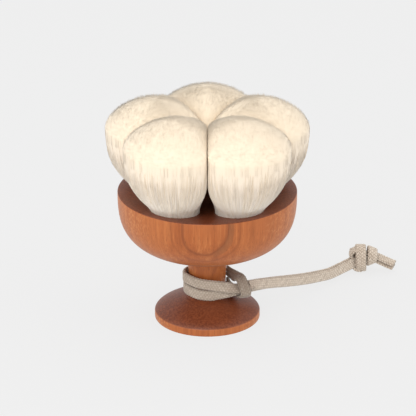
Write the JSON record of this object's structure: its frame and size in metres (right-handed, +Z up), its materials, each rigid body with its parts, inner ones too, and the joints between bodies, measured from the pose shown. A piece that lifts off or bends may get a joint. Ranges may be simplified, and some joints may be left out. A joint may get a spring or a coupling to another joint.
{
  "type": "flower-shaped body brush",
  "caption": "Soft flower-shaped skin brush: round hair tufts in the dish of a turned wooden goblet handle, with a braided hanging loop hitched round its stem.",
  "frame": {"origin": "centre of the foot's flat underside, on the lathe axis", "axes": "+Z up along the lathe axis, +X to the right and -Y to the front as the picture shows it"},
  "size_m": [0.1091, 0.0795, 0.0827],
  "materials": {
    "wood": "oiled satin, end grain darker",
    "hair": "soft fine cream hair",
    "thread": "waxed binding thread",
    "resin": "set resin",
    "cord": "matt flat braid"
  },
  "bodies": {
    "brush": {"handle": "wood", "hair_tuft_1": "hair", "hair_tuft_2": "hair", "hair_tuft_3": "hair", "hair_tuft_4": "hair", "hair_tuft_5": "hair", "tuft_binding_1": "thread", "tuft_binding_2": "thread", "tuft_binding_3": "thread", "tuft_binding_4": "thread", "tuft_binding_5": "thread", "tuft_plug_1": "resin", "tuft_plug_2": "resin", "tuft_plug_3": "resin", "tuft_plug_4": "resin", "tuft_plug_5": "resin"},
    "hitch": {"hitch_upper_wrap": "cord", "hitch_lower_wrap": "cord", "hitch_bight": "cord"},
    "loop": {"cord_strand_a": "cord", "cord_strand_b": "cord", "cord_knot": "cord", "cord_tail_a": "cord", "cord_tail_b": "cord"}
  },
  "joints": [
    {"name": "cord_swivel", "type": "hinge", "parent": "brush", "child": "hitch", "pos_m": [0, 0, 0.014], "axis": [0, 0, 1], "continuous": true},
    {"name": "cord_lift", "type": "hinge", "parent": "hitch", "child": "loop", "pos_m": [0.016, -0.0032, 0.0131], "axis": [0.7224, -0.6915, 0], "range_deg": [-30, 56], "deforming": ["cord_strand_a", "cord_strand_b"]}
  ]
}
